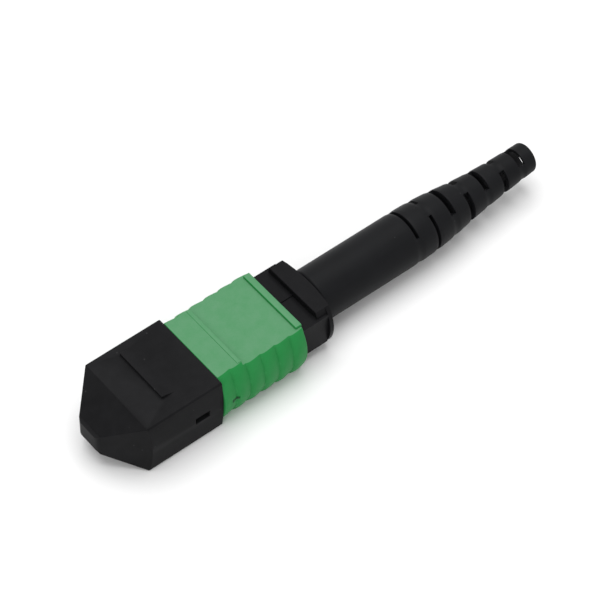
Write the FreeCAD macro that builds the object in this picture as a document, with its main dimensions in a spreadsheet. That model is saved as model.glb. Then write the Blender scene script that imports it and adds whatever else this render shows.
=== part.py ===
"""Multi-fibre push-on connector plug with its dust cap on.

Millimetres. +X runs from the nose to the cable end, +Y to the far side, +Z up. The origin is the
centre of the ferrule's end face. The plug lies level on the flat undersides of cap and sleeve.
"""
import FreeCAD, Part
import math
import os
from types import SimpleNamespace

import Sketcher

os.makedirs("parts", exist_ok=True)
doc = FreeCAD.newDocument("mpo_connector")
sheet = doc.addObject("Spreadsheet::Sheet", "Dimensions")

DRIVING = [
    ("ferrule_width", 6.4, "ferrule nose, across the fibre row"),
    ("ferrule_height", 2.5, "ferrule nose height"),
    ("ferrule_length", 8.0, "ferrule, end face to rear face"),
    ("shoulder_width", 7.0, "ferrule shoulder"),
    ("shoulder_height", 3.0, "ferrule shoulder"),
    ("shoulder_length", 2.0, "ferrule shoulder"),
    ("face_angle", 8.0, "angle of the polished end face, degrees"),
    ("fibre_hole", 0.125, "fibre hole diameter"),
    ("fibre_pitch", 0.25, "fibre hole spacing"),
    ("fibre_count", 12, "fibre holes in the row"),
    ("fibre_hole_depth", 3.0, "fibre holes, end face to window"),
    ("window_length", 2.4, "glue window along the ferrule"),
    ("window_width", 3.6, "glue window across the ferrule"),
    ("window_depth", 1.7, "glue window, from the ferrule's top"),
    ("pin_diameter", 0.7, "guide pin"),
    ("pin_pitch", 4.6, "guide pin spacing"),
    ("pin_reach", 1.9, "guide pins beyond the end face"),
    ("pin_tip_length", 0.35, "tapered tip of the guide pin"),
    ("pin_mouth_depth", 0.3, "funnel of a pin hole, behind the middle of the end face"),
    ("pin_mouth_diameter", 1.1, "funnel of a pin hole at the face's foremost edge"),
    ("clamp_thickness", 1.2, "pin clamp plate"),
    ("clamp_margin", 0.1, "pin clamp inside the ferrule shoulder's outline, each side"),
    ("tube_width", 3.2, "soft boot behind the ferrule"),
    ("tube_height", 1.5, "soft boot behind the ferrule"),
    ("tube_length", 5.8, "soft boot behind the ferrule"),
    ("tube_wall", 0.4, "soft boot wall"),
    ("tube_insert", 2.6, "soft boot inside the ferrule"),
    ("ferrule_spring_length", 6.7, "ferrule spring as fitted"),
    ("ferrule_spring_width", 6.2, "ferrule spring outside, across"),
    ("ferrule_spring_height", 2.9, "ferrule spring outside, high"),
    ("ferrule_spring_wire", 0.45, "ferrule spring wire"),
    ("ferrule_spring_turns", 6, "ferrule spring coils"),
    ("ferrule_spring_facets", 10, "straight runs that make one of its coils"),
    ("housing_front", 0.5, "end face to the front of the inner housing"),
    ("housing_length", 20.35, "inner housing"),
    ("housing_width", 8.7, "inner housing"),
    ("housing_height", 4.68, "inner housing and rear body"),
    ("housing_chamfer", 0.25, "lead-in round the inner housing's nose"),
    ("key_width", 3.0, "polarity key on the inner housing"),
    ("key_height", 0.6, "polarity key"),
    ("key_length", 3.3, "polarity key"),
    ("key_inset", 0.4, "polarity key behind the housing's front"),
    ("latch_depth", 0.6, "side channel for the adapter's latch arms"),
    ("latch_height", 3.0, "side channel, high"),
    ("latch_lead", 2.1, "side channel ahead of its ramp"),
    ("latch_ramp", 0.7, "length of the ramp"),
    ("latch_rise", 0.35, "height of the ramp"),
    ("latch_land", 0.6, "flat behind the ramp"),
    ("latch_pocket", 1.7, "pocket that the latch arms drop into"),
    ("stop_width", 3.6, "bump that stops the sleeve going forward"),
    ("stop_height", 0.22, "bump height"),
    ("stop_length", 0.8, "bump length"),
    ("stop_inset", 0.95, "bump's rear face ahead of the housing's rear"),
    ("snap_length", 1.2, "window that the rear body snaps into"),
    ("snap_height", 1.8, "window, high"),
    ("snap_inset", 2.25, "window's front ahead of the housing's rear"),
    ("snap_rise", 0.55, "snap nub above the neck"),
    ("sleeve_start", 9.5, "end face to the shoulder where cap meets sleeve"),
    ("collar_length", 5.0, "front collar of the sleeve, under the cap"),
    ("collar_wall", 0.6, "front collar wall, top and bottom"),
    ("collar_side_wall", 0.55, "front collar wall, sides"),
    ("grip_length", 11.93, "grip of the sleeve"),
    ("grip_flat_width", 9.46, "flat top of the grip"),
    ("grip_width", 12.5, "grip across the crests of its round sides"),
    ("grip_height", 7.64, "grip height"),
    ("grip_edge", 0.18, "rounding of the grip's rear rim"),
    ("panel_depth", 0.34, "sunk panel, top and bottom, between the fine rib and the rear strip"),
    ("rib_pitch", 2.03, "grip ribs"),
    ("rib_depth", 0.34, "valleys between the grip ribs"),
    ("rib_start", 1.75, "first valley behind the shoulder"),
    ("rib_rise", 0.8, "steep flank, from a valley to the crest behind it"),
    ("rib_count", 5, "valleys on each side"),
    ("rib_knee", 0.45, "valley's middle to the knee of each flank"),
    ("rib_knee_depth", 0.12, "knee of a flank below the crest"),
    ("rib_reach", 96, "angle that the valleys cover, degrees"),
    ("rim_length", 0.84, "raised strip along the grip's rear edge"),
    ("rim_width", 9.4, "raised strip"),
    ("strip_end", 0.4, "end corners of the strip and the fine rib, as a share of their length"),
    ("line_width", 0.5, "fine rib across the grip's front"),
    ("line_height", 0.06, "fine rib"),
    ("line_reach", 9.2, "fine rib, across"),
    ("line_place", 2.95, "fine rib behind the shoulder"),
    ("sleeve_travel", 2.5, "sleeve slides back to the pad"),
    ("coil_length", 6.1, "coupling spring as fitted"),
    ("coil_diameter", 1.2, "coupling spring outside"),
    ("coil_wire", 0.2, "coupling spring wire"),
    ("coil_turns", 6, "coupling spring coils"),
    ("coil_facets", 6, "straight runs that make one of its coils"),
    ("coil_sunk", 0.3, "coupling spring's pocket in the housing's side"),
    ("coil_place", 1.9, "coupling spring's front seat behind the shoulder"),
    ("tab_length", 0.7, "tab that the coupling springs push on"),
    ("slot_length", 1.05, "slot in the side of the grip"),
    ("slot_height", 0.56, "slot in the side of the grip"),
    ("slot_place", 1.1, "slot behind the shoulder"),
    ("neck_clearance", 0.1, "rear body's neck inside the chamber, each side"),
    ("block_width", 9.5, "rear body between sleeve and pad"),
    ("pad_length", 1.35, "raised pad ahead of the flange"),
    ("flange_width", 10.4, "round flange, across"),
    ("flange_flat", 8.2, "flat top of the pad and the flange"),
    ("flange_height", 6.4, "pad and flange over their flats"),
    ("flange_thickness", 1.0, "round flange, to the middle of its domed rear"),
    ("flange_rim", 0.5, "round flange at its edge"),
    ("flange_dome_depth", 0.35, "shallow cone of the flange's domed rear"),
    ("flange_dome_diameter", 9.4, "where the dome's two cones meet"),
    ("flange_dome_face", 5.8, "flat middle of the dome"),
    ("recess_depth", 0.12, "shallow recess on top of the rear body"),
    ("recess_width", 3.7, "shallow recess, from the middle to the near side"),
    ("passage_width", 4.4, "fibre passage at the front of the rear body"),
    ("passage_height", 1.7, "fibre passage at the front of the rear body"),
    ("bore_setback", 0.6, "round bore behind the rear body's neck"),
    ("post_diameter", 4.4, "crimp post"),
    ("post_bore", 3.4, "bore of the crimp post"),
    ("post_length", 6.5, "crimp post behind the flange"),
    ("post_ring_depth", 0.15, "grip rings on the crimp post"),
    ("post_ring_pitch", 1.6, "grip rings on the crimp post"),
    ("post_ring_count", 2, "grip rings on the crimp post"),
    ("crimp_wall", 0.3, "crimp sleeve"),
    ("crimp_setback", 0.3, "crimp sleeve behind the flange"),
    ("crimp_length", 6.8, "crimp sleeve"),
    ("cable_diameter", 3.0, "jacket of the cable that the boot takes"),
    ("cable_clearance", 0.1, "cable in the boot, each side"),
    ("boot_diameter", 6.75, "straight stretch of the boot"),
    ("boot_straight_length", 14.2, "straight stretch of the boot"),
    ("boot_taper_length", 19.3, "tapering stretch, its profile given at each third"),
    ("boot_early_diameter", 5.88, "boot at the first third of its taper"),
    ("boot_late_diameter", 4.48, "boot at the second third of its taper"),
    ("boot_tail_diameter", 3.8, "tail of the boot"),
    ("boot_edge", 0.3, "bevel at both ends of the boot"),
    ("vent_start", 14.2, "boot front to the middle of the first slot"),
    ("vent_pitch", 2.85, "spacing of the boot's slots"),
    ("vent_narrow", 0.45, "width of the first slot of each kind"),
    ("vent_wide", 0.75, "width of the other slots"),
    ("vent_top_angle", 96, "angle of a top or bottom slot, degrees"),
    ("vent_side_angle", 140, "angle of a side slot, degrees"),
    ("cap_width", 11.3, "dust cap, over its top edges"),
    ("cap_bulge", 0.3, "rounding-out of the cap's sides"),
    ("cap_height", 7.68, "dust cap"),
    ("cap_lead", 0.64, "root of the cap's nose ahead of the ferrule's end face"),
    ("cap_nose", 4.02, "nose of the cap"),
    ("cap_tip_width", 3.2, "tip of the nose, over its bevel"),
    ("cap_tip_height", 2.9, "tip of the nose, over its bevel"),
    ("cap_tip_edge", 0.32, "bevel round the tip of the nose"),
    ("cap_nose_wall", 0.6, "wall of the nose"),
    ("cap_recess_height", 3.9, "recess in the nose for the guide pins"),
    ("pin_room", 0.6, "guide pins in that recess, at their sides"),
    ("pin_end_room", 0.45, "guide pins in that recess, at their tips"),
    ("cap_edge", 0.15, "rounding of the cap's edges"),
    ("wedge_length", 1.7, "wedge rib on the cap, front to rear"),
    ("wedge_width", 7.66, "wedge rib, across"),
    ("wedge_height", 0.45, "wedge rib at its front"),
    ("wedge_place", 6.45, "wedge rib's front ahead of the cap's rear"),
    ("wedge_offset", 0.5, "wedge rib towards the far side"),
    ("cap_slot_length", 1.9, "slot in each side of the cap"),
    ("cap_slot_height", 0.9, "slot in each side of the cap"),
    ("cap_slot_place", 2.9, "slot's middle ahead of the cap's rear"),
    ("cap_slot_lift", 0.25, "slot's middle above the axis"),
    ("fit_gap", 0.05, "ferrule in its chamber, cap on collar, boot on crimp sleeve"),
    ("slide_gap", 0.1, "sleeve over housing and rear body"),
    ("seat_gap", 0.02, "faces of different moving pieces that meet at rest"),
    ("pin_gap", 0.01, "seated length of the guide pins in their holes"),
    ("pin_seat_taper", 1.5, "stretch over which a guide pin narrows to its seated size"),
]


class Size:
    """A number with the sheet formula that gives it: sketches start in place and stay bound."""

    def __init__(self, value, formula):
        self.value = value
        self.formula = formula

    def __add__(self, other):
        other = as_size(other)
        return Size(self.value + other.value, f"({self.formula} + {other.formula})")

    def __sub__(self, other):
        other = as_size(other)
        return Size(self.value - other.value, f"({self.formula} - {other.formula})")

    def __mul__(self, other):
        other = as_size(other)
        return Size(self.value * other.value, f"({self.formula} * {other.formula})")

    def __truediv__(self, other):
        other = as_size(other)
        return Size(self.value / other.value, f"({self.formula} / {other.formula})")

    def __neg__(self):
        return Size(-self.value, f"(0 - {self.formula})")

    def root(self):
        return Size(math.sqrt(self.value), f"sqrt({self.formula})")

    def tangent(self):
        return Size(math.tan(math.radians(self.value)), f"tan({self.formula})")


def as_size(number):
    return number if isinstance(number, Size) else Size(number, repr(number))


def fill_sheet():
    """Writes the driving dimensions and gives back one Size for each."""
    named = {}
    for row, (alias, value, note) in enumerate(DRIVING, 1):
        sheet.set(f"A{row}", note)
        sheet.set(f"B{row}", str(value))
        sheet.setAlias(f"B{row}", alias)
        named[alias] = Size(value, f"Dimensions.{alias}")
    doc.recompute()
    return SimpleNamespace(**named)


d = fill_sheet()

# Places along the plug, from the ferrule's end face
shoulder_x = d.ferrule_length - d.shoulder_length
clamp_end = d.ferrule_length + d.clamp_thickness
push_x = clamp_end + d.ferrule_spring_length
housing_end = d.housing_front + d.housing_length
collar_x = d.sleeve_start - d.collar_length
grip_end = d.sleeve_start + d.grip_length
coil_x = d.sleeve_start + d.coil_place
tab_x = coil_x + d.coil_length
stop_end = housing_end - d.stop_inset
snap_x = housing_end - d.snap_inset
pad_x = grip_end + d.sleeve_travel + d.seat_gap
flange_x = pad_x + d.pad_length
flange_end = flange_x + d.flange_thickness
cap_end = d.sleeve_start - d.seat_gap
cap_length = cap_end + d.cap_lead

# Half sizes of the openings that one piece leaves for another
half_chamber_width = d.shoulder_width / 2 + d.fit_gap
half_chamber_height = d.shoulder_height / 2 + d.fit_gap
half_housing_width = d.housing_width / 2
half_housing_height = d.housing_height / 2
half_tunnel_width = half_housing_width + d.slide_gap
half_tunnel_height = half_housing_height + d.slide_gap
half_collar_width = half_tunnel_width + d.collar_side_wall
half_collar_height = half_tunnel_height + d.collar_wall
half_cavity_width = half_collar_width + d.fit_gap
half_cavity_height = half_collar_height + d.fit_gap
coil_floor = half_housing_width - d.coil_sunk
coil_centre = coil_floor + d.coil_diameter / 2
tab_reach = coil_floor + d.coil_diameter
half_pin_hole = d.pin_diameter / 2
cable_bore = d.cable_diameter / 2 + d.cable_clearance
crimp_inner = d.post_diameter / 2 + d.fit_gap
crimp_outer = crimp_inner + d.crimp_wall


def bind(feature, name, size):
    feature.setExpression(name, as_size(size).formula)


def new_body(label, place=0):
    """A body whose own zero is its front, set at its place along the plug."""
    body = doc.addObject("PartDesign::Body", label)
    body.Label = label
    bind(body, "Placement.Base.x", place)
    return body


def origin_item(body, role):
    return next(item for item in body.Origin.OriginFeatures if item.Role == role)


def sketch(body, name, plane, offset=0):
    """A sketch on one of the body's own origin planes. On YZ, across is Y and up is Z."""
    made = body.newObject("Sketcher::SketchObject", f"{body.Name}_{name}")
    made.AttachmentSupport = [(origin_item(body, f"{plane}_Plane"), "")]
    made.MapMode = "FlatFace"
    bind(made, "AttachmentOffset.Base.z", offset)
    return made


def constrain(made, kind, *places, size=None):
    if size is None:
        made.addConstraint(Sketcher.Constraint(kind, *places))
        return
    index = made.addConstraint(Sketcher.Constraint(kind, *places, size.value))
    made.setExpression(f"Constraints[{index}]", size.formula)


def pin_point(made, item, end, across, up):
    """Ties one end of a line or arc to its place from the sketch's origin."""
    constrain(made, "DistanceX", -1, 1, item, end, size=as_size(across))
    constrain(made, "DistanceY", -1, 1, item, end, size=as_size(up))


def vector(across, up):
    return FreeCAD.Vector(as_size(across).value, as_size(up).value, 0)


def outline(made, points):
    """A closed outline of straight lines."""
    first = made.GeometryCount
    count = len(points)
    for index in range(count):
        ends = points[index], points[(index + 1) % count]
        made.addGeometry(Part.LineSegment(vector(*ends[0]), vector(*ends[1])))
    for index, point in enumerate(points):
        constrain(made, "Coincident", first + (index - 1) % count, 2, first + index, 1)
        pin_point(made, first + index, 1, *point)
    return made


def rectangle(made, low_across, high_across, low_up, high_up):
    return outline(made, [(low_across, low_up), (high_across, low_up),
                          (high_across, high_up), (low_across, high_up)])


def centred(made, half_width, half_height):
    half_width = as_size(half_width)
    half_height = as_size(half_height)
    return rectangle(made, -half_width, half_width, -half_height, half_height)


def circle(made, radius, across=0, up=0):
    radius = as_size(radius)
    shape = Part.Circle(vector(across, up), FreeCAD.Vector(0, 0, 1), radius.value)
    item = made.addGeometry(shape)
    pin_point(made, item, 3, across, up)
    constrain(made, "Radius", item, size=radius)
    return made


def arc(made, centre, radius, start, finish):
    """An arc from start to finish, anticlockwise about its centre."""
    turns = [math.atan2(p.y - centre.y, p.x - centre.x) for p in (start, finish)]
    shape = Part.Circle(centre, FreeCAD.Vector(0, 0, 1), radius.value)
    item = made.addGeometry(Part.ArcOfCircle(shape, turns[0], turns[1]))
    constrain(made, "Radius", item, size=radius)
    return item


def bow_radius(half_chord, rise):
    """Radius of the arc over a chord that rises this much at its middle."""
    return (half_chord * half_chord + rise * rise) / (rise * 2)


def bulged(made, half_flat, half_bulge, half_height):
    """Flat top and bottom with round sides that stand out furthest at mid-height."""
    rise = half_bulge - half_flat
    radius = bow_radius(half_height, rise)
    top = made.addGeometry(Part.LineSegment(vector(half_flat, half_height),
                                            vector(-half_flat, half_height)))
    foot = made.addGeometry(Part.LineSegment(vector(-half_flat, -half_height),
                                             vector(half_flat, -half_height)))
    pin_point(made, top, 1, half_flat, half_height)
    pin_point(made, top, 2, -half_flat, half_height)
    pin_point(made, foot, 1, -half_flat, -half_height)
    pin_point(made, foot, 2, half_flat, -half_height)
    centre = half_bulge - radius
    near = arc(made, vector(centre, 0), radius,
               vector(half_flat, -half_height), vector(half_flat, half_height))
    far = arc(made, vector(-centre, 0), radius,
              vector(-half_flat, half_height), vector(-half_flat, -half_height))
    for line, line_end, bow, bow_end in ((foot, 2, near, 1), (top, 1, near, 2),
                                         (top, 2, far, 1), (foot, 1, far, 2)):
        constrain(made, "Coincident", line, line_end, bow, bow_end)
    return made


def feature(body, kind, name, **settings):
    made = body.newObject(f"PartDesign::{kind}", f"{body.Name}_{name}")
    for key, value in settings.items():
        if isinstance(value, Size):
            bind(made, key, value)
        else:
            setattr(made, key, value)
    return made


def pad(body, name, profile, length, side="One side"):
    return feature(body, "Pad", name, Profile=profile, Length=length, SideType=side)


def cut(body, name, profile, length):
    """Cuts along the sketch's normal, away from the body's front."""
    return feature(body, "Pocket", name, Profile=profile, Length=length, Reversed=True)


def cut_both_ways(body, name, profile, length):
    return feature(body, "Pocket", name, Profile=profile, Length=length, SideType="Symmetric")


def turned(body, name, profile, kind="Revolution"):
    """Turns a profile drawn on XY about the plug's axis."""
    return feature(body, kind, name, Profile=profile, ReferenceAxis=(profile, ["H_Axis"]), Angle=360)


def mirrored(body, name, originals, plane):
    made = feature(body, "Mirrored", name, Originals=originals,
                   MirrorPlane=(origin_item(body, f"{plane}_Plane"), [""]))
    body.Tip = made
    return made


def along(body, name, originals, length, count):
    made = feature(body, "LinearPattern", name, Originals=originals, Length=length, Occurrences=count,
                   Direction=(origin_item(body, "X_Axis"), [""]))
    body.Tip = made
    return made


def edges_where(solid, test):
    """Names of the edges whose middle and direction pass the test."""
    names = []
    for index, edge in enumerate(solid.Shape.Edges, 1):
        middle = edge.valueAt((edge.FirstParameter + edge.LastParameter) / 2)
        ends = edge.Vertexes[-1].Point - edge.Vertexes[0].Point
        if test(middle, ends):
            names.append(f"Edge{index}")
    return names


def rounded(body, name, base, radius, test, kind="Fillet"):
    doc.recompute()
    size_name = "Radius" if kind == "Fillet" else "Size"
    made = feature(body, kind, name, Base=(base, edges_where(base, test)))
    bind(made, size_name, radius)
    return made


def near_value(value, size):
    return abs(value - size.value) < 0.01


def make_ferrule():
    """Ferrule with shoulder, angled face, fibre and pin holes, glue window and rear mouth."""
    body = new_body("mt_ferrule")
    half_width = d.ferrule_width / 2
    half_height = d.ferrule_height / 2
    lean = half_height * d.face_angle.tangent()
    pad(body, "nose", centred(sketch(body, "nose_section", "YZ", -lean), half_width, half_height),
        d.ferrule_length + lean)
    pad(body, "shoulder", centred(sketch(body, "shoulder_section", "YZ", shoulder_x),
                                  d.shoulder_width / 2, d.shoulder_height / 2), d.shoulder_length)
    wedge = outline(sketch(body, "face_wedge", "XZ"),
                    [(-lean, -half_height), (lean, half_height), (-lean, half_height)])
    cut_both_ways(body, "face", wedge, d.ferrule_width)
    holes = sketch(body, "pin_holes", "YZ", -lean)
    for side in (1, -1):
        circle(holes, half_pin_hole, d.pin_pitch / 2 * side)
    cut(body, "pin_bores", holes, d.ferrule_length + lean)
    funnel = sketch(body, "pin_funnel_profile", "XY")
    bind(funnel, "AttachmentOffset.Base.y", d.pin_pitch / 2)
    outline(funnel, [(-lean, 0), (-lean, d.pin_mouth_diameter / 2), (d.pin_mouth_depth, half_pin_hole),
                     (d.pin_mouth_depth, 0)])
    mirrored(body, "pin_funnels", [turned(body, "pin_funnel", funnel, kind="Groove")], "XZ")
    rear = d.ferrule_length - d.tube_insert
    mouth = centred(sketch(body, "mouth_section", "YZ", rear),
                    d.tube_width / 2 + d.seat_gap, d.tube_height / 2 + d.seat_gap)
    cut(body, "mouth", mouth, d.tube_insert)
    window = rectangle(sketch(body, "window_outline", "XY", half_height - d.window_depth),
                       d.fibre_hole_depth, d.fibre_hole_depth + d.window_length,
                       -d.window_width / 2, d.window_width / 2)
    cut(body, "window", window, d.window_depth)
    first = d.fibre_pitch * (d.fibre_count - 1) / 2
    hole = circle(sketch(body, "fibre_hole", "YZ", -lean), d.fibre_hole / 2, -first)
    bore = cut(body, "fibre_bore", hole, d.fibre_hole_depth + lean)
    row = feature(body, "LinearPattern", "fibre_row", Originals=[bore], Length=first * 2,
                  Direction=(origin_item(body, "Y_Axis"), [""]), Occurrences=d.fibre_count)
    body.Tip = row
    return body


def make_pin(label, side):
    """Guide pin with a tapered tip, held by the clamp at its other end."""
    body = new_body(label, -d.pin_reach)
    bind(body, "Placement.Base.y", d.pin_pitch / 2 * side)
    radius = d.pin_diameter / 2
    length = d.pin_reach + clamp_end
    reach = d.pin_reach - radius * d.face_angle.tangent() - d.pin_gap
    profile = outline(sketch(body, "profile", "XY"), [
        (0, 0), (0, radius / 2), (d.pin_tip_length, radius), (reach, radius),
        (reach + d.pin_seat_taper, radius - d.pin_gap), (length, radius - d.pin_gap), (length, 0)])
    turned(body, "pin", profile)
    return body


def make_clamp():
    """Plate behind the ferrule with pin holes and a clear middle for the soft boot."""
    body = new_body("pin_clamp", d.ferrule_length)
    pad(body, "plate", centred(sketch(body, "plate_section", "YZ"),
                               d.shoulder_width / 2 - d.clamp_margin,
                               d.shoulder_height / 2 - d.clamp_margin), d.clamp_thickness)
    holes = sketch(body, "openings", "YZ")
    for side in (1, -1):
        circle(holes, half_pin_hole, d.pin_pitch / 2 * side)
    centred(holes, d.tube_width / 2 + d.fit_gap, d.tube_height / 2 + d.fit_gap)
    cut(body, "holes", holes, d.clamp_thickness)
    return body


def make_tube():
    """Soft boot that leads the ribbon of fibres into the ferrule."""
    body = new_body("ferrule_boot", d.ferrule_length - d.tube_insert)
    solid = pad(body, "tube", centred(sketch(body, "tube_section", "YZ"), d.tube_width / 2, d.tube_height / 2),
                d.tube_length)
    rounded(body, "corners", solid, d.tube_wall / 2, lambda middle, ends: abs(ends.x) > 1)
    cut(body, "passage", centred(sketch(body, "passage_section", "YZ"), d.tube_width / 2 - d.tube_wall,
                                 d.tube_height / 2 - d.tube_wall), d.tube_length)
    return body


def coil(width, height, length, wire, turns, facets):
    """A coil spring along +X from x = 0: an oval helix of straight runs with a six-sided wire."""
    half_wire = wire / 2
    steps = int(turns * facets)
    rise = (length - wire) / steps
    path = []
    for step in range(steps + 1):
        turn = 2 * math.pi * step / facets
        path.append(FreeCAD.Vector(half_wire + step * rise, (width / 2 - half_wire) * math.cos(turn),
                                   (height / 2 - half_wire) * math.sin(turn)))
    heading = (path[1] - path[0]).normalize()
    aside = heading.cross(FreeCAD.Vector(0, 1, 0)).normalize()
    across = heading.cross(aside)
    corners = []
    for corner in range(7):
        turn = math.pi * corner / 3
        corners.append(path[0] + aside * (half_wire * math.cos(turn)) + across * (half_wire * math.sin(turn)))
    section = Part.makePolygon(corners)
    return Part.makePolygon(path).makePipeShell([section], True, False, 1)


def make_spring(label, place, width, height, length, wire, turns, facets, aside=0):
    made = doc.addObject("Part::Feature", label)
    made.Label = label
    made.Shape = coil(width.value, height.value, length.value, wire.value, turns.value, facets.value)
    bind(made, "Placement.Base.x", place)
    bind(made, "Placement.Base.y", aside)
    return made


def make_housing():
    """Plug body: key, latch channels, ferrule chamber, spring pockets, sleeve stops, snap windows."""
    body = new_body("inner_housing", d.housing_front)
    start = d.housing_front
    shell = pad(body, "shell", centred(sketch(body, "shell_section", "YZ"), half_housing_width,
                                       half_housing_height), d.housing_length)
    rounded(body, "lead_in", shell, d.housing_chamfer,
            lambda middle, ends: near_value(middle.x, as_size(0)), kind="Chamfer")
    key = rectangle(sketch(body, "key_section", "YZ", d.key_inset), -d.key_width / 2, d.key_width / 2,
                    half_housing_height - d.key_height, half_housing_height + d.key_height)
    pad(body, "key", key, d.key_length)
    tabs = centred(sketch(body, "tab_section", "YZ", tab_x - start), tab_reach,
                   d.coil_diameter / 2)
    pad(body, "tabs", tabs, d.tab_length)
    stops = centred(sketch(body, "stop_section", "YZ", stop_end - d.stop_length - start),
                    d.stop_width / 2, half_housing_height + d.stop_height)
    pad(body, "stops", stops, d.stop_length)
    chamber_x = shoulder_x - d.seat_gap - start
    chamber = centred(sketch(body, "chamber_section", "YZ", chamber_x), half_chamber_width,
                      half_chamber_height)
    cut(body, "chamber", chamber, d.housing_length - chamber_x)
    mouth = centred(sketch(body, "mouth_section", "YZ"), d.ferrule_width / 2 + d.fit_gap,
                    d.ferrule_height / 2 + d.fit_gap)
    cut(body, "mouth", mouth, chamber_x)
    pockets = sketch(body, "pocket_section", "YZ", coil_x - d.fit_gap - start)
    half_pocket = d.coil_diameter / 2 + d.fit_gap
    rectangle(pockets, coil_floor - d.fit_gap, half_housing_width + d.fit_gap, -half_pocket, half_pocket)
    rectangle(pockets, -half_housing_width - d.fit_gap, d.fit_gap - coil_floor, -half_pocket, half_pocket)
    cut(body, "coil_pockets", pockets, d.coil_length + d.fit_gap)
    floor = half_housing_width - d.latch_depth
    ramp = as_size(d.latch_lead)
    land = ramp + d.latch_ramp
    drop = land + d.latch_land
    back = drop + d.latch_pocket
    beyond = half_housing_width + d.fit_gap
    arms = outline(sketch(body, "latch_outline", "XY"), [
        (0, floor), (ramp, floor), (land, floor + d.latch_rise), (drop, floor + d.latch_rise),
        (drop, floor), (back, floor), (back, beyond), (0, beyond)])
    channel = cut_both_ways(body, "latch_channel", arms, d.latch_height)
    mirrored(body, "latch_channels", [channel], "XZ")
    snap = rectangle(sketch(body, "snap_outline", "XZ"), snap_x - start, snap_x + d.snap_length - start,
                     -d.snap_height / 2, d.snap_height / 2)
    cut_both_ways(body, "snap_windows", snap, tab_reach * 2)
    return body


def make_sleeve():
    """Grip sleeve: collar under the cap, ribbed grip, tunnel, spring channels and stop pockets."""
    body = new_body("sliding_sleeve", collar_x)
    length = d.collar_length + d.grip_length
    half_flat = d.grip_flat_width / 2
    half_grip = d.grip_width / 2
    half_height = d.grip_height / 2
    pad(body, "collar", centred(sketch(body, "collar_section", "YZ"), half_collar_width,
                                half_collar_height), d.collar_length)
    pad(body, "grip", bulged(sketch(body, "grip_section", "YZ", d.collar_length), half_flat,
                             half_grip, half_height), d.grip_length)
    line_x = d.collar_length + d.line_place
    panel_level = half_height - d.panel_depth
    panel = rectangle(sketch(body, "panel_outline", "XZ"), line_x + d.line_width, length, panel_level,
                      half_height * 2)
    mirrored(body, "panels", [cut_both_ways(body, "panel", panel, d.grip_width)], "XY")
    middle = d.collar_length + d.rib_start
    knee_height = half_grip - d.rib_knee_depth
    front = middle + d.rib_rise - d.rib_pitch
    back = middle + d.rib_rise
    valley = outline(sketch(body, "valley_profile", "XY"), [
        (front, half_grip), (middle - d.rib_knee, knee_height), (middle, half_grip - d.rib_depth),
        (middle + d.rib_knee, knee_height), (back, half_grip), (back, half_grip + d.rib_depth),
        (front, half_grip + d.rib_depth)])
    groove = feature(body, "Groove", "valley", Profile=valley, ReferenceAxis=(valley, ["H_Axis"]),
                     Angle=d.rib_reach, Midplane=True)
    ribs = body.newObject("PartDesign::MultiTransform", f"{body.Name}_ribs")
    repeat = feature(body, "LinearPattern", "rib_repeat", Length=d.rib_pitch * (d.rib_count - 1),
                     Occurrences=d.rib_count, Direction=(origin_item(body, "X_Axis"), [""]))
    other_side = feature(body, "Mirrored", "rib_mirror", MirrorPlane=(origin_item(body, "XZ_Plane"), [""]))
    ribs.Originals = [groove]
    ribs.Transformations = [repeat, other_side]
    body.Tip = ribs
    for name, place, strip_length, strip_width, low, high in (
            ("line", line_x, d.line_width, d.line_reach, half_height, half_height + d.line_height),
            ("rim", length - d.rim_length, d.rim_length, d.rim_width, panel_level, half_height)):
        section = sketch(body, f"{name}_section", "YZ", place)
        strip = pad(body, name, centred(section, strip_width / 2, high), strip_length)
        strip = rounded(body, f"{name}_ends", strip, strip_length * d.strip_end, lambda middle, ends: (
            near_value(middle.x, place) and near_value(abs(middle.y), strip_width / 2)
            and near_value(abs(middle.z), (low + high) / 2)), kind="Chamfer")
    rounded(body, "rear_rim", strip, d.grip_edge, lambda middle, ends: near_value(middle.x, length),
            kind="Chamfer")
    cut(body, "tunnel", centred(sketch(body, "tunnel_section", "YZ"), half_tunnel_width,
                                half_tunnel_height), length)
    rear_x = housing_end - d.sleeve_travel - d.slide_gap - collar_x
    cut(body, "rear_tunnel", centred(sketch(body, "rear_tunnel_section", "YZ", rear_x),
                                     d.block_width / 2 + d.slide_gap, half_tunnel_height), length - rear_x)
    channel_x = coil_x - collar_x - d.seat_gap
    half_channel = d.coil_diameter / 2 + d.slide_gap
    cut(body, "coil_channels", centred(sketch(body, "channel_section", "YZ", channel_x),
                                       tab_reach + d.slide_gap, half_channel), length - channel_x)
    stop_x = stop_end - d.stop_length - d.sleeve_travel - d.slide_gap - collar_x
    stop_pocket = centred(sketch(body, "stop_section", "YZ", stop_x), d.stop_width / 2 + d.slide_gap,
                          half_housing_height + d.stop_height + d.slide_gap)
    cut(body, "stop_pockets", stop_pocket, stop_end + d.seat_gap - collar_x - stop_x)
    slot_x = d.collar_length + d.slot_place
    slot = rectangle(sketch(body, "slot_outline", "XZ"), slot_x, slot_x + d.slot_length,
                     -d.slot_height / 2, d.slot_height / 2)
    cut_both_ways(body, "side_slots", slot, d.grip_width)
    return body


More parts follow.
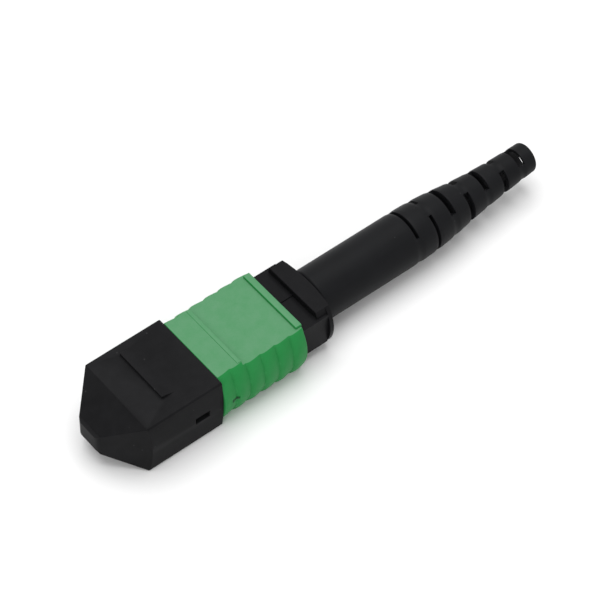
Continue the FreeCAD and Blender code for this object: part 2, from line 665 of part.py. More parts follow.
def make_rear_body():
    """Rear body: neck with snap nubs, block, pad, round flange and ringed crimp post."""
    body = new_body("spring_push", push_x)
    start = push_x
    half_neck_width = half_chamber_width - d.neck_clearance
    half_neck_height = half_chamber_height - d.neck_clearance
    half_flange = d.flange_height / 2
    pad(body, "neck", centred(sketch(body, "neck_section", "YZ"), half_neck_width, half_neck_height),
        housing_end - start)
    pad(body, "block", centred(sketch(body, "block_section", "YZ", housing_end - start),
                               d.block_width / 2, half_housing_height), flange_x - housing_end)
    pad(body, "pad", bulged(sketch(body, "pad_section", "YZ", pad_x - start), d.flange_flat / 2,
                            d.block_width / 2, half_flange), d.pad_length)
    pad(body, "flange", bulged(sketch(body, "flange_section", "YZ", flange_x - start),
                               d.flange_flat / 2, d.flange_width / 2, half_flange),
        d.flange_thickness)
    dome = outline(sketch(body, "dome_profile", "XY"), [
        (flange_end - start, d.flange_dome_face / 2),
        (flange_end - d.flange_dome_depth - start, d.flange_dome_diameter / 2),
        (flange_x + d.flange_rim - start, d.flange_width / 2),
        (flange_x + d.flange_rim - start, d.flange_width),
        (flange_end - start, d.flange_width)])
    turned(body, "flange_dome", dome, kind="Groove")
    pad(body, "post", circle(sketch(body, "post_section", "YZ", flange_end - start),
                             d.post_diameter / 2), d.post_length)
    nub_x = snap_x + d.slide_gap - start
    nub_end = snap_x + d.snap_length - d.slide_gap - start
    nub = outline(sketch(body, "nub_outline", "XY"), [
        (nub_x, half_neck_width - d.neck_clearance), (nub_end, half_neck_width - d.neck_clearance),
        (nub_end, half_neck_width + d.snap_rise), (nub_x, half_neck_width)])
    snap = pad(body, "snap_nub", nub, d.snap_height - d.slide_gap * 2, side="Symmetric")
    mirrored(body, "snap_nubs", [snap], "XZ")
    passage = centred(sketch(body, "passage_section", "YZ"), d.passage_width / 2, d.passage_height / 2)
    cut(body, "passage", passage, pad_x - start)
    bore_x = housing_end + d.bore_setback - start
    cut(body, "post_bore", circle(sketch(body, "bore_section", "YZ", bore_x), d.post_bore / 2),
        flange_end + d.post_length - start - bore_x)
    recess = rectangle(sketch(body, "recess_outline", "XY", half_housing_height - d.recess_depth),
                       housing_end - start, pad_x - start, -d.recess_width, 0)
    cut(body, "recess", recess, d.recess_depth)
    ring_x = flange_end - start + d.post_ring_pitch * 1.5
    half_post = d.post_diameter / 2
    ring = outline(sketch(body, "ring_profile", "XY"), [
        (ring_x - d.post_ring_depth, half_post), (ring_x, half_post - d.post_ring_depth),
        (ring_x + d.post_ring_depth, half_post)])
    groove = turned(body, "ring", ring, kind="Groove")
    along(body, "rings", [groove], d.post_ring_pitch * (d.post_ring_count - 1), d.post_ring_count)
    return body


def make_crimp():
    """Crimp sleeve: a tube over the post."""
    body = new_body("crimp_sleeve", flange_end + d.crimp_setback)
    ring = circle(circle(sketch(body, "section", "YZ"), crimp_outer), crimp_inner)
    pad(body, "tube", ring, d.crimp_length)
    return body


def make_boot():
    """Boot: straight stretch, taper, socket for the crimp sleeve, and slots turned by a quarter."""
    body = new_body("strain_relief_boot", flange_end)
    length = d.boot_straight_length + d.boot_taper_length
    third = d.boot_taper_length / 3
    socket = crimp_outer + d.fit_gap
    socket_end = d.crimp_setback + d.crimp_length + d.fit_gap
    profile = outline(sketch(body, "profile", "XY"), [
        (0, d.boot_diameter / 2 - d.boot_edge), (0, socket), (socket_end, socket),
        (socket_end, cable_bore), (length, cable_bore),
        (length, d.boot_tail_diameter / 2 - d.boot_edge / 2),
        (length - d.boot_edge, d.boot_tail_diameter / 2),
        (d.boot_straight_length + third * 2, d.boot_late_diameter / 2),
        (d.boot_straight_length + third, d.boot_early_diameter / 2),
        (d.boot_straight_length, d.boot_diameter / 2), (d.boot_edge, d.boot_diameter / 2)])
    turned(body, "shell", profile)
    reach = d.boot_diameter

    def vent(name, place, angle, width, on_sides):
        """A pair of opposite slots, cut by two wedges that start inside the bore."""
        half = (angle / 2).tangent()
        section = sketch(body, f"{name}_section", "YZ", place - width / 2)
        for side in (1, -1):
            near = cable_bore * side / 2
            pinch = cable_bore * half / 2
            far = reach * side
            spread = reach * half
            if on_sides:
                outline(section, [(near, -pinch), (far, -spread), (far, spread), (near, pinch)])
            else:
                outline(section, [(-pinch, near), (-spread, far), (spread, far), (pinch, near)])
        return cut(body, name, section, width)

    pitch = d.vent_pitch
    vent("top_vent_first", d.vent_start, d.vent_top_angle, d.vent_narrow, False)
    vent("side_vent_first", d.vent_start + pitch, d.vent_side_angle, d.vent_narrow, True)
    top = vent("top_vent", d.vent_start + pitch * 2, d.vent_top_angle, d.vent_wide, False)
    along(body, "top_vents", [top], pitch * 4, 3)
    side = vent("side_vent", d.vent_start + pitch * 3, d.vent_side_angle, d.vent_wide, True)
    along(body, "side_vents", [side], pitch * 2, 2)
    return body


def make_cap():
    """Dust cap: box with slightly round sides, hipped nose, wedge rib, recess and side slots."""
    body = new_body("dust_cap", cap_end - cap_length)
    half_width = d.cap_width / 2
    half_height = d.cap_height / 2
    half_tip_width = d.cap_tip_width / 2
    half_tip_height = d.cap_tip_height / 2
    box = pad(body, "box", bulged(sketch(body, "box_section", "YZ", -d.cap_nose), half_width,
                                  half_width + d.cap_bulge, half_height), d.cap_nose + cap_length)
    rounded(body, "long_edges", box, d.cap_edge,
            lambda middle, ends: near_value(abs(middle.y), half_width) and abs(ends.x) > 1, kind="Chamfer")
    slope_wide = (half_width - half_tip_width) / d.cap_nose
    slope_high = (half_height - half_tip_height) / d.cap_nose
    beyond = d.cap_edge * 8
    for name, plane, half_tip, slope in (("sides", "XY", half_tip_width, slope_wide),
                                         ("roofs", "XZ", half_tip_height, slope_high)):
        far = half_tip + slope * (d.cap_nose + beyond)
        facets = outline(sketch(body, f"nose_{name}_profile", plane), [
            (-d.cap_nose, half_tip), (beyond, far), (-d.cap_nose, far)])
        facet = cut_both_ways(body, f"nose_{name}", facets, d.cap_width * 2)
        mirrored(body, f"nose_{name}_pair", [facet], "XZ" if plane == "XY" else "XY")
    rounded(body, "tip_edges", body.Tip, d.cap_tip_edge,
            lambda middle, ends: near_value(middle.x, -d.cap_nose), kind="Chamfer")
    wedge_x = cap_length - d.wedge_place
    wedge = outline(sketch(body, "wedge_profile", "XZ", -d.wedge_offset), [
        (wedge_x, half_height), (wedge_x + d.wedge_length, half_height),
        (wedge_x, half_height + d.wedge_height)])
    pad(body, "wedge", wedge, d.wedge_width, side="Symmetric")
    side_wall = d.cap_nose_wall * (slope_wide * slope_wide + 1).root()
    cavity_x = (half_cavity_width + side_wall - half_width) / slope_wide
    cavity = centred(sketch(body, "cavity_section", "YZ", cavity_x), half_cavity_width, half_cavity_height)
    cut(body, "cavity", cavity, cap_length - cavity_x)
    recess_x = d.cap_lead - d.pin_reach - d.pin_end_room
    recess = centred(sketch(body, "recess_section", "YZ", recess_x),
                     d.pin_pitch / 2 + d.pin_diameter / 2 + d.pin_room, d.cap_recess_height / 2)
    cut(body, "recess", recess, cavity_x - recess_x)
    middle = cap_length - d.cap_slot_place
    half_slot = d.cap_slot_length / 2
    slot = rectangle(sketch(body, "slot_outline", "XZ"), middle - half_slot, middle + half_slot,
                     d.cap_slot_lift - d.cap_slot_height / 2, d.cap_slot_lift + d.cap_slot_height / 2)
    cut_both_ways(body, "side_slots", slot, d.cap_width + d.cap_bulge * 4)
    return body


def make_all():
    pieces = [
        make_cap(),
        make_sleeve(),
        make_housing(),
        make_ferrule(),
        make_pin("guide_pin_left", 1),
        make_pin("guide_pin_right", -1),
        make_clamp(),
        make_tube(),
        make_spring("ferrule_spring", clamp_end + d.seat_gap, d.ferrule_spring_width,
                    d.ferrule_spring_height, d.ferrule_spring_length - d.seat_gap * 2,
                    d.ferrule_spring_wire, d.ferrule_spring_turns, d.ferrule_spring_facets),
        make_rear_body(),
        make_crimp(),
        make_boot(),
    ]
    for label, side in (("coupling_spring_left", 1), ("coupling_spring_right", -1)):
        pieces.append(make_spring(label, coil_x + d.seat_gap, d.coil_diameter, d.coil_diameter,
                                  d.coil_length - d.seat_gap * 2, d.coil_wire, d.coil_turns,
                                  d.coil_facets, coil_centre * side))
    return pieces


def check(pieces):
    """Stops on a failed object, a piece that is not one valid solid, or a cut that removes nothing."""
    failed = [item.Name for item in doc.Objects if {"Invalid", "Error"} & set(item.State)]
    if failed:
        raise RuntimeError(f"these objects failed: {failed}")
    for piece in pieces:
        shape = piece.Shape
        if shape.isNull() or not shape.isValid() or len(shape.Solids) != 1:
            raise RuntimeError(f"{piece.Label} is not one valid solid")
    removers = ("PartDesign::Pocket", "PartDesign::Groove")
    for item in doc.Objects:
        base = getattr(item, "BaseFeature", None)
        if base and item.TypeId in removers and item.Shape.Volume >= base.Shape.Volume - 1e-6:
            raise RuntimeError(f"{item.Name} removes nothing")


pieces = make_all()
doc.recompute()
check(pieces)
for piece in pieces:
    piece.Shape.exportStep(f"parts/{piece.Label}.step")
    print(piece.Label, round(piece.Shape.Volume, 3), len(piece.Shape.Faces))
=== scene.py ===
import math

import bmesh
import bpy
from mathutils import Matrix, Vector


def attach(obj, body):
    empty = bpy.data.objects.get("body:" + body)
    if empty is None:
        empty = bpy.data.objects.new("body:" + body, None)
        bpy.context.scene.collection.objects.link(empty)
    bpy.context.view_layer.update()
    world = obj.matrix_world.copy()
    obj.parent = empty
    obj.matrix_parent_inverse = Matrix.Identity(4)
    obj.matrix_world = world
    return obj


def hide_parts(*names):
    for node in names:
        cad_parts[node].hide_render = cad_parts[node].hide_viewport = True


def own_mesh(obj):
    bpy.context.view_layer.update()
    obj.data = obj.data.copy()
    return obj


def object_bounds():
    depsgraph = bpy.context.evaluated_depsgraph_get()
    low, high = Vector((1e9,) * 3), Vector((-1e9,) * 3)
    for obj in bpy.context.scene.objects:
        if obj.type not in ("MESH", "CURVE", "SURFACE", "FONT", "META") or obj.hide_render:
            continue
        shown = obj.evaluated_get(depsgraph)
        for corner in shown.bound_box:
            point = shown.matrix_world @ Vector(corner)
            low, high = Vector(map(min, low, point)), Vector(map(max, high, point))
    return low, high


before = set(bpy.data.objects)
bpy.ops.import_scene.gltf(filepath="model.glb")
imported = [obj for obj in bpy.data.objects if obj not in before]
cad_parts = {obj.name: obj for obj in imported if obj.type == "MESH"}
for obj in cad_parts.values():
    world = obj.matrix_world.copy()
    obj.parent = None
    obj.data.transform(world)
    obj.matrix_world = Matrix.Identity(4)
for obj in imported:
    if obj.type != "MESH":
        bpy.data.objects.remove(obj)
cad_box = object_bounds()
MM = 0.001


# Node graphs: one wrapper serves the materials and the geometry trees


class Wire:
    """An output socket that can be used in sums, which add Math nodes to its tree."""

    def __init__(self, graph, socket):
        self.graph = graph
        self.socket = socket

    def __add__(self, other):
        return self.graph.math("ADD", self, other)

    def __sub__(self, other):
        return self.graph.math("SUBTRACT", self, other)

    def __mul__(self, other):
        return self.graph.math("MULTIPLY", self, other)

    def __truediv__(self, other):
        return self.graph.math("DIVIDE", self, other)

    def __rsub__(self, other):
        return self.graph.math("SUBTRACT", other, self)

    __radd__ = __add__


class Graph:
    """A node tree that is written as calls: each node takes its type, settings and inputs."""

    def __init__(self, tree):
        self.tree = tree

    def link(self, node, key, value):
        """Feeds an input from a wire, from each of several wires, or with a constant."""
        socket = node.inputs[key]
        if isinstance(value, Wire):
            self.tree.links.new(value.socket, socket)
        elif isinstance(value, (list, tuple)) and value and isinstance(value[0], Wire):
            for wire in value:
                self.tree.links.new(wire.socket, socket)
        else:
            socket.default_value = value

    def node(self, kind, settings=None, inputs=None, out=0):
        made = self.tree.nodes.new(kind)
        for name, value in (settings or {}).items():
            setattr(made, name, value)
        for key, value in (inputs or {}).items():
            self.link(made, key, value)
        return Wire(self, made.outputs[out])

    def math(self, operation, *values):
        return self.node("ShaderNodeMath", {"operation": operation}, dict(enumerate(values)))

    def ramp(self, value, low, high, start=0.0, end=1.0):
        """Maps low to high onto start to end and stays inside them."""
        return self.node("ShaderNodeMapRange", {"clamp": True}, {
            "Value": value, "From Min": low, "From Max": high, "To Min": start, "To Max": end})

    def above(self, value, limit):
        """1 where the value is past the limit, else 0."""
        return self.math("GREATER_THAN", value, limit)

    def not_below(self, value, limit=0.0):
        return self.math("MAXIMUM", value, limit)


# Finishes, with sizes in metres


SPECK_RIM = (0.12, 0.2)     # where a speck fades out, as a share of its cell
EDGE_WEAR = (0.52, 0.58)    # pointiness where wear begins and where it is full
FLATNESS = (0.8, 0.97)      # upright part of a normal where a face begins to count as lying


def tinted(colour, times=1.0, plus=0.0):
    """A colour scaled and raised, held below white."""
    return (*[min(1.0, part * times + plus) for part in colour[:3]], 1.0)


class Finish(Graph):
    """A material with one Principled shader, in the object's own coordinates."""

    sockets = {"color": "Base Color", "roughness": "Roughness", "metallic": "Metallic",
               "normal": "Normal", "specular": "Specular IOR Level"}

    def __init__(self, name):
        self.material = bpy.data.materials.new(name)
        self.material.use_nodes = True
        super().__init__(self.material.node_tree)
        self.shader = self.tree.nodes["Principled BSDF"]
        self.place = self.node("ShaderNodeTexCoord", out="Object")

    def noise(self, size, detail=2.0, roughness=0.5, stretch=None):
        """Noise with features of about this size, drawn out along an axis by stretch."""
        place = self.place
        if stretch:
            place = self.node("ShaderNodeVectorMath", {"operation": "MULTIPLY"},
                              {0: place, 1: stretch})
        return self.node("ShaderNodeTexNoise", None, {
            "Vector": place, "Scale": 1.0 / size, "Detail": detail, "Roughness": roughness})

    def specks(self, size, share):
        """Small round marks on the given share of cells of this size."""
        cells = self.tree.nodes.new("ShaderNodeTexVoronoi")
        self.link(cells, "Vector", self.place)
        self.link(cells, "Scale", 1.0 / size)
        picked = self.node("ShaderNodeSeparateColor", None,
                           {"Color": Wire(self, cells.outputs["Color"])})
        chosen = self.math("LESS_THAN", picked, share)
        near = self.ramp(Wire(self, cells.outputs["Distance"]), *SPECK_RIM, 1.0, 0.0)
        return chosen * near

    def worn_edge(self):
        """1 on sharp outer edges and 0 on flats."""
        return self.ramp(self.node("ShaderNodeNewGeometry", out="Pointiness"), *EDGE_WEAR)

    def lying_flat(self):
        """1 on faces that lie flat, above or below, and 0 on those that stand."""
        parts = self.tree.nodes.new("ShaderNodeSeparateXYZ")
        self.link(parts, 0, self.node("ShaderNodeTexCoord", out="Normal"))
        return self.ramp(self.math("ABSOLUTE", Wire(self, parts.outputs["Z"])), *FLATNESS)

    def mix(self, factor, first, second):
        return self.node("ShaderNodeMix", {"data_type": "RGBA"},
                         {"Factor": factor, 6: first, 7: second}, out=2)

    def bump(self, height, distance, strength=1.0, under=None):
        """A relief of this height, on top of another one if that is given."""
        inputs = {"Height": height, "Distance": distance, "Strength": strength}
        if under is not None:
            inputs["Normal"] = under
        return self.node("ShaderNodeBump", None, inputs)

    def shade(self, **inputs):
        for key, value in inputs.items():
            self.link(self.shader, self.sockets[key], value)
        return self.material


def moulded_plastic(name, colour, bloom, roughness, specular, grain=0.00009, depth=0.000004,
                    dust=0.05, flat_sheen=None):
    """Satin moulded plastic: spark-eroded grain, faint flow clouds, paler rubbed edges, dust.

    A flat sheen is painted sheen: a paler, mottled colour laid on faces that lie flat, above or
    below, where the lamp overhead is reflected."""
    f = Finish(name)
    clouds = f.noise(0.006, detail=3.0, roughness=0.6)
    streaks = f.noise(0.0022, detail=2.0, stretch=(0.25, 1.0, 1.0))
    grit = f.noise(grain, detail=3.0, roughness=0.65)
    mottle = f.noise(0.0013, detail=4.0, roughness=0.62)
    edge = f.worn_edge()
    tone = f.ramp(clouds * 0.5 + mottle * 0.5, 0.34, 0.66, 0.0, 0.5)
    surface = f.mix(tone + edge * 0.35, colour, bloom)
    if flat_sheen:
        # Painted sheen: faces that lie flat are painted paler in mottled patches, standing in for
        # the overhead lamp's reflection.
        painted_sheen = f.lying_flat() * f.ramp(mottle * 0.65 + grit * 0.35, 0.36, 0.64, 0.72, 1.0)
        surface = f.mix(painted_sheen, surface, flat_sheen)
    surface = f.mix(f.specks(0.0006, dust) * 0.3, surface, tinted(bloom, plus=0.05))
    gloss = roughness + (streaks - 0.5) * 0.12 + (grit - 0.5) * 0.1 - edge * 0.08
    relief = f.bump(clouds, 0.00003, 0.5, under=f.bump(grit, depth))
    return f.shade(color=surface, roughness=gloss, normal=relief, specular=specular)


def soft_rubber(name, colour, bloom, roughness, specular):
    """Flexible moulding: matt, with fine grain, handling marks and a pale bloom on its edges."""
    f = Finish(name)
    patches = f.noise(0.004, detail=4.0, roughness=0.6)
    drawn = f.noise(0.0008, detail=2.0, stretch=(0.15, 1.0, 1.0))
    grit = f.noise(0.00012, detail=2.0)
    edge = f.worn_edge()
    tone = f.ramp(patches * 0.7 + drawn * 0.3, 0.3, 0.7, 0.0, 0.4)
    surface = f.mix(tone + edge * 0.3, colour, bloom)
    surface = f.mix(f.specks(0.0005, 0.03) * 0.3, surface, tinted(bloom, plus=0.04))
    gloss = roughness + (patches - 0.5) * 0.16 + (grit - 0.5) * 0.1
    relief = f.bump(drawn, 0.000008, 0.6, under=f.bump(grit, 0.000005))
    return f.shade(color=surface, roughness=gloss, normal=relief, specular=specular)


def machined_steel(name, colour, roughness, along=(0.02, 1.0, 1.0)):
    """Ground or drawn metal: fine lines along the work and duller patches."""
    f = Finish(name)
    lines = f.noise(0.00005, detail=2.0, stretch=along)
    smears = f.noise(0.0015, detail=3.0)
    tone = f.mix(f.ramp(smears, 0.35, 0.7, 0.0, 0.5), colour, tinted(colour, times=0.78))
    gloss = roughness + (lines - 0.5) * 0.14 + f.ramp(smears, 0.4, 0.7, 0.0, 0.08)
    relief = f.bump(lines, 0.000002, 0.6)
    return f.shade(color=tone, roughness=gloss, metallic=1.0, normal=relief)


def filled_thermoset(name, colour, pale):
    """Glass-filled ferrule plastic: dull, with fine fibre flecks."""
    f = Finish(name)
    flecks = f.noise(0.00006, detail=3.0, roughness=0.7, stretch=(0.5, 1.0, 1.4))
    clouds = f.noise(0.0018, detail=3.0)
    tone = f.mix(f.ramp(flecks * 0.7 + clouds * 0.3, 0.38, 0.62), colour, pale)
    gloss = 0.42 + (clouds - 0.5) * 0.16
    return f.shade(color=tone, roughness=gloss, normal=f.bump(flecks, 0.000003, 0.7))


black_cap = moulded_plastic(
    "black_cap_plastic", colour=(0.0055, 0.0055, 0.006, 1.0), bloom=(0.0125, 0.0125, 0.0135, 1.0),
    roughness=0.5, specular=0.05)
black_body = moulded_plastic(
    "black_body_plastic", colour=(0.0045, 0.0045, 0.005, 1.0), bloom=(0.01, 0.01, 0.011, 1.0),
    roughness=0.46, specular=0.045, grain=0.00007)
# The grip's flat sheen colour is painted sheen on its top and bottom panels, not a colour of the
# plastic.
green_grip = moulded_plastic(
    "green_grip_plastic", colour=(0.0145, 0.198, 0.045, 1.0), bloom=(0.026, 0.238, 0.064, 1.0),
    roughness=0.46, specular=0.1, grain=0.00011, depth=0.000003, dust=0.03,
    flat_sheen=(0.094, 0.253, 0.128, 1.0))
boot_rubber = soft_rubber(
    "boot_rubber", colour=(0.0049, 0.0051, 0.0058, 1.0), bloom=(0.011, 0.0115, 0.013, 1.0),
    roughness=0.5, specular=0.085)
pale_rubber = soft_rubber(
    "pale_inner_rubber", colour=(0.52, 0.51, 0.48, 1.0), bloom=(0.62, 0.61, 0.58, 1.0),
    roughness=0.6, specular=0.4)
ferrule_plastic = filled_thermoset(
    "ferrule_plastic", colour=(0.23, 0.195, 0.13, 1.0), pale=(0.36, 0.32, 0.23, 1.0))
pin_steel = machined_steel("ground_pin_steel", (0.68, 0.69, 0.7, 1.0), 0.2)
wire_steel = machined_steel("drawn_spring_wire", (0.58, 0.58, 0.59, 1.0), 0.3, (1.0, 1.0, 1.0))
plate_steel = machined_steel("stamped_plate_steel", (0.5, 0.51, 0.52, 1.0), 0.36, (1.0, 0.05, 1.0))
crimp_metal = machined_steel("crimp_tube_metal", (0.62, 0.61, 0.58, 1.0), 0.34)


# Meshes, all in millimetres until they are placed


SMOOTH_ANGLE = 75.0         # edges sharper than this stay crisp after they are rounded
MERGE_DISTANCE = 0.0005
FLAT_ANGLE = 0.6            # CAD faces that meet at less than this count as one


def mesh_object(name, mesh):
    made = bpy.data.objects.new(name, mesh)
    bpy.context.scene.collection.objects.link(made)
    return made


def mesh_from(name, shape):
    """The mesh of a bmesh, which is freed."""
    mesh = bpy.data.meshes.new(name)
    shape.to_mesh(mesh)
    shape.free()
    return mesh


def object_from(name, shape):
    return mesh_object(name, mesh_from(name, shape))


def settled(item):
    """The object with its evaluated mesh as a plain one, and its modifiers gone."""
    graph = bpy.context.evaluated_depsgraph_get()
    mesh = bpy.data.meshes.new_from_object(item.evaluated_get(graph))
    item.modifiers.clear()
    item.data = mesh
    return item


class Recipe(Graph):
    """A Geometry Nodes tree with named inputs, run on a mesh and settled into a plain one."""

    kinds = {int: "NodeSocketInt", float: "NodeSocketFloat",
             bpy.types.Material: "NodeSocketMaterial"}

    def __init__(self, name, **inputs):
        super().__init__(bpy.data.node_groups.new(name, "GeometryNodeTree"))
        faces = self.tree.interface
        faces.new_socket("Geometry", in_out="OUTPUT", socket_type="NodeSocketGeometry")
        faces.new_socket("Geometry", in_out="INPUT", socket_type="NodeSocketGeometry")
        self.settings = {}
        for label, value in inputs.items():
            kind = self.kinds[type(value)]
            socket = faces.new_socket(label, in_out="INPUT", socket_type=kind)
            self.settings[socket.identifier] = value
        self.entry = self.tree.nodes.new("NodeGroupInput")
        self.exit = self.tree.nodes.new("NodeGroupOutput")

    def given(self, label):
        return Wire(self, self.entry.outputs[label])

    def vector(self, x, y, z):
        return self.node("ShaderNodeCombineXYZ", None, {0: x, 1: y, 2: z})

    def spot(self):
        """The x, y and z of each point."""
        parts = self.tree.nodes.new("ShaderNodeSeparateXYZ")
        self.link(parts, 0, self.node("GeometryNodeInputPosition"))
        return [Wire(self, part) for part in parts.outputs]

    def moved(self, shape, place):
        return self.node("GeometryNodeSetPosition", None, {"Geometry": shape, "Position": place})

    def points_along(self, count):
        """A line of points, with their places along it from 0 to 1."""
        line = self.node("GeometryNodeMeshLine", None, {"Count": count})
        return line, self.node("GeometryNodeInputIndex") * (1.0 / (count - 1))

    def gathered(self, share, amount):
        """Places from 0 to 1 that lie closer together at both ends."""
        return share - self.math("SINE", share * math.tau) * (amount / math.tau)

    def swept(self, line, sides, radius, scale=1.0):
        """A round closed skin along a line of points."""
        thread = self.node("GeometryNodeMeshToCurve", None, {"Mesh": line})
        ring = self.node("GeometryNodeCurvePrimitiveCircle", None,
                         {"Resolution": sides, "Radius": radius})
        return self.node("GeometryNodeCurveToMesh", None, {
            "Curve": thread, "Profile Curve": ring, "Scale": scale, "Fill Caps": True})

    def run(self, name, shape, start=None):
        """Ends the tree, runs it on the start mesh and returns the finished object."""
        real = self.node("GeometryNodeRealizeInstances", None, {"Geometry": shape})
        painted = self.node("GeometryNodeSetMaterial", None,
                            {"Geometry": real, "Material": self.given("Material")})
        self.link(self.exit, 0, painted)
        item = mesh_object(name, start or bpy.data.meshes.new(name))
        step = item.modifiers.new("recipe", "NODES")
        step.node_group = self.tree
        for identifier, value in self.settings.items():
            step[identifier] = value
        return settled(item)


def shade(item, angle):
    """Smooth shading, with edges sharper than the angle left crisp."""
    for face in item.data.polygons:
        face.use_smooth = True
    item.data.set_sharp_from_angle(angle=math.radians(angle))
    return item


def soften(item, width, angle):
    """Rounds the edges sharper than the angle, and lets the flats keep their own normals."""
    bevel = item.modifiers.new("edges", "BEVEL")
    bevel.width = width
    bevel.segments = 3
    bevel.limit_method = "ANGLE"
    bevel.angle_limit = math.radians(angle)
    bevel.miter_outer = "MITER_ARC"
    bevel.use_clamp_overlap = True
    settled(item)
    shade(item, SMOOTH_ANGLE)
    item.modifiers.new("flats", "WEIGHTED_NORMAL").keep_sharp = True
    return settled(item)


def combined(item, others, operation):
    """Joins or cuts an object with each of the others, which are then dropped."""
    for other in others:
        step = item.modifiers.new(other.name, "BOOLEAN")
        step.operation = operation
        step.solver = "EXACT"
        step.object = other
    settled(item)
    for other in others:
        bpy.data.objects.remove(other, do_unlink=True)
    return item


def across(name, front, back, half_width, half_height, edge=0.0):
    """A box on the plug's axis from front to back, with its edges rounded."""
    low = (front, -half_width, -half_height)
    high = (back, half_width, half_height)
    shape = bmesh.new()
    bmesh.ops.create_cube(shape, size=1.0)
    for vert in shape.verts:
        vert.co = [low[i] if vert.co[i] < 0 else high[i] for i in range(3)]
    if edge:
        bmesh.ops.bevel(shape, geom=shape.edges[:], offset=edge, segments=3, profile=0.5,
                        affect="EDGES")
    return object_from(name, shape)


def place_piece(item, body, nodes, material):
    """Brings a finished piece to metres, and lets it ride and stand for its CAD nodes."""
    item.data.transform(Matrix.Scale(MM, 4))
    item.data.materials.clear()
    item.data.materials.append(material)
    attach(item, body)
    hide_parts(*nodes)
    return item


def cad_copy(node, name):
    """A merged copy of a CAD node, its flat faces joined up."""
    shape = bmesh.new()
    shape.from_mesh(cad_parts[node].data)
    bmesh.ops.scale(shape, vec=(1 / MM,) * 3, verts=shape.verts)
    bmesh.ops.remove_doubles(shape, verts=shape.verts, dist=MERGE_DISTANCE)
    bmesh.ops.dissolve_limit(shape, angle_limit=math.radians(FLAT_ANGLE), verts=shape.verts,
                             edges=shape.edges, delimit={"NORMAL"})
    return object_from(name, shape)


# Floor, light and camera


def floor():
    """A pale floor, lit until it is white, which keeps the shadow."""
    shape = bmesh.new()
    bmesh.ops.create_grid(shape, x_segments=1, y_segments=1, size=2.5)
    bmesh.ops.translate(shape, vec=(0, 0, cad_box[0].z), verts=shape.verts)
    ground = object_from("floor", shape)
    paper = Finish("floor_paper").shade(color=(0.86, 0.86, 0.86, 1.0), roughness=0.9, specular=0.2)
    ground.data.materials.append(paper)


def soft_lamp(name, at, towards, size, power):
    lamp = bpy.data.lights.new(name, "AREA")
    lamp.shape = "RECTANGLE"
    lamp.size, lamp.size_y = size
    lamp.energy = power
    made = bpy.data.objects.new(name, lamp)
    bpy.context.scene.collection.objects.link(made)
    made.location = at
    made.rotation_euler = (Vector(towards) - Vector(at)).to_track_quat("-Z", "Y").to_euler()


def studio():
    """Two soft lamps and a white surround, which lights less strongly than it looks."""
    middle = (0.02, 0.0, 0.0)
    soft_lamp("overhead_softbox", at=(0.05, 0.12, 0.75), towards=middle, size=(0.7, 0.7), power=5.0)
    soft_lamp("front_softbox", at=(-0.45, -0.35, 0.4), towards=middle, size=(0.5, 0.5), power=1.2)
    as_light, as_seen = 0.55, 1.0
    world = bpy.data.worlds.new("studio_air")
    world.use_nodes = True
    air = Graph(world.node_tree)
    surround = air.tree.nodes["Background"]
    ray = air.tree.nodes.new("ShaderNodeLightPath")
    seen = air.math("MAXIMUM", Wire(air, ray.outputs["Is Camera Ray"]),
                    Wire(air, ray.outputs["Is Glossy Ray"]))
    air.link(surround, "Strength", air.ramp(seen, 0.0, 1.0, as_light, as_seen))
    air.link(surround, "Color", (1.0, 1.0, 1.0, 1.0))
    bpy.context.scene.world = world
    bpy.context.scene.view_settings.view_transform = "Standard"


def camera():
    """The photograph's view: turned round the plug, raised, and rolled by a degree and a half."""
    around, raised, rolled = (math.radians(turn) for turn in (-130.39, 51.63, 1.6))
    distance, shift_right, shift_up = 299.6, 12.10, 7.95
    aim = Vector((9.5, 0, 0))
    back = Vector((math.cos(raised) * math.cos(around), math.cos(raised) * math.sin(around),
                   math.sin(raised)))
    level = (-back).cross(Vector((0, 0, 1))).normalized()
    upright = level.cross(-back)
    right = level * math.cos(rolled) + upright * math.sin(rolled)
    up = upright * math.cos(rolled) - level * math.sin(rolled)
    lens = bpy.data.cameras.new("photo_camera")
    lens.sensor_width = 36.0
    lens.lens = 162.0
    lens.clip_start = 0.02
    made = bpy.data.objects.new("photo_camera", lens)
    turn = Matrix((right, up, back)).transposed().to_4x4()
    spot = (back * distance + right * shift_right + up * shift_up + aim) * MM
    made.matrix_world = Matrix.Translation(spot) @ turn
    bpy.context.scene.collection.objects.link(made)
    bpy.context.scene.camera = made


# Boot


BOOT_FRONT = 26.3
BOOT_LENGTH = 33.5
BOOT_END = BOOT_FRONT + BOOT_LENGTH
BOOT_RADIUS = 3.375
TAPER_START = 40.5
BOW_LENGTH = 7.0            # the first part of the taper bows in as a parabola
BOW_RATE = 0.0105
EASE_LENGTH = 8.3           # the rest eases into the tail
EASE_DEPTH = 1.22
SLOT_PITCH = 2.85
SLOT_ROWS = 7
SLOT_WIDTH = 0.45
WIDER_FROM = ((1.5, 0.35), (5.5, 0.2))      # rows past the first number add the second one
UPRIGHT_SPREAD = 48.0       # half the angle that a slot takes up, in the rows above and below
SIDEWAYS_SPREAD = 70.0      # the same, in the rows at the sides
BOOT_POINTS = 400
BOOT_SIDES = 84
BORE_SIDES = 72
VOID_MARGIN = 1.0           # how far the bore and socket run out past both ends
STEP_GAP = 0.002            # keeps the two rings of the step between them apart


